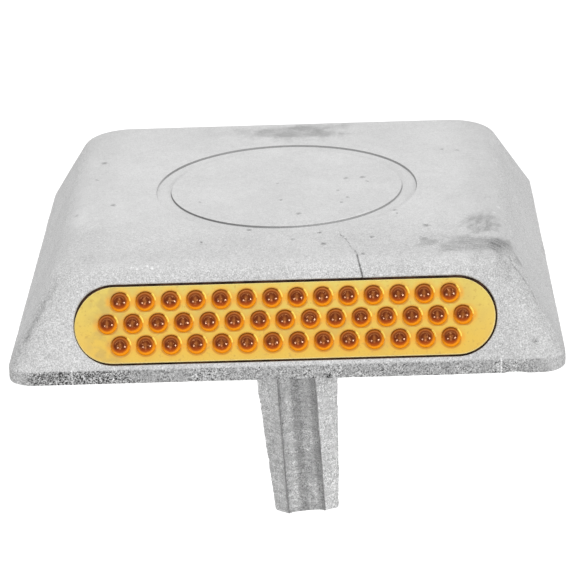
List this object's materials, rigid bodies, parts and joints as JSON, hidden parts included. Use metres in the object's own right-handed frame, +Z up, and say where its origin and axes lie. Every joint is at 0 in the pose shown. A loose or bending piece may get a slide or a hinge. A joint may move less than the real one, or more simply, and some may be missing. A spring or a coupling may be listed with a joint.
{
  "type": "raised pavement marker",
  "caption": "Square low cast-aluminium road marker with sloping sides, an amber beaded reflector set into its front and rear slopes, and a fluted anchor shank underneath.",
  "frame": {"origin": "centre of the underside, at the level of the road surface", "axes": "+Z up, out of the road; -Z along the anchor shank into the road; -Y out of the front reflector; +X to the right as seen from the front"},
  "size_m": [0.1, 0.1, 0.0672],
  "materials": {
    "cast_aluminium": "as-cast, matte, light sandy grain, slightly stained",
    "reflector_panel": "yellow moulded plastic, satin to glossy",
    "bead_glass": "clear amber glass, polished domes",
    "mirror_backing": "vacuum-metallised reflecting layer",
    "adhesive": "dark brown set adhesive, slightly glossy where squeezed out"
  },
  "bodies": {
    "root": {"cast_body": "cast_aluminium", "front_bead_upper_01": "bead_glass", "front_bead_upper_02": "bead_glass", "front_bead_upper_03": "bead_glass", "front_bead_upper_04": "bead_glass", "front_bead_upper_05": "bead_glass", "front_bead_upper_06": "bead_glass", "front_bead_upper_07": "bead_glass", "front_bead_upper_08": "bead_glass", "front_bead_upper_09": "bead_glass", "front_bead_upper_10": "bead_glass", "front_bead_upper_11": "bead_glass", "front_bead_upper_12": "bead_glass", "front_bead_upper_13": "bead_glass", "front_bead_upper_14": "bead_glass", "front_bead_middle_01": "bead_glass", "front_bead_middle_02": "bead_glass", "front_bead_middle_03": "bead_glass", "front_bead_middle_04": "bead_glass", "front_bead_middle_05": "bead_glass", "front_bead_middle_06": "bead_glass", "front_bead_middle_07": "bead_glass", "front_bead_middle_08": "bead_glass", "front_bead_middle_09": "bead_glass", "front_bead_middle_10": "bead_glass", "front_bead_middle_11": "bead_glass", "front_bead_middle_12": "bead_glass", "front_bead_middle_13": "bead_glass", "front_bead_middle_14": "bead_glass", "front_bead_middle_15": "bead_glass", "front_bead_lower_01": "bead_glass", "front_bead_lower_02": "bead_glass", "front_bead_lower_03": "bead_glass", "front_bead_lower_04": "bead_glass", "front_bead_lower_05": "bead_glass", "front_bead_lower_06": "bead_glass", "front_bead_lower_07": "bead_glass", "front_bead_lower_08": "bead_glass", "front_bead_lower_09": "bead_glass", "front_bead_lower_10": "bead_glass", "front_bead_lower_11": "bead_glass", "front_bead_lower_12": "bead_glass", "front_bead_lower_13": "bead_glass", "front_bead_lower_14": "bead_glass", "rear_bead_row_upper": "bead_glass", "rear_bead_row_middle": "bead_glass", "rear_bead_row_lower": "bead_glass", "front_reflector_panel": "reflector_panel", "front_mirror_backing": "mirror_backing", "front_adhesive_bed": "adhesive", "rear_reflector_panel": "reflector_panel", "rear_mirror_backing": "mirror_backing", "rear_adhesive_bed": "adhesive"}
  },
  "joints": []
}
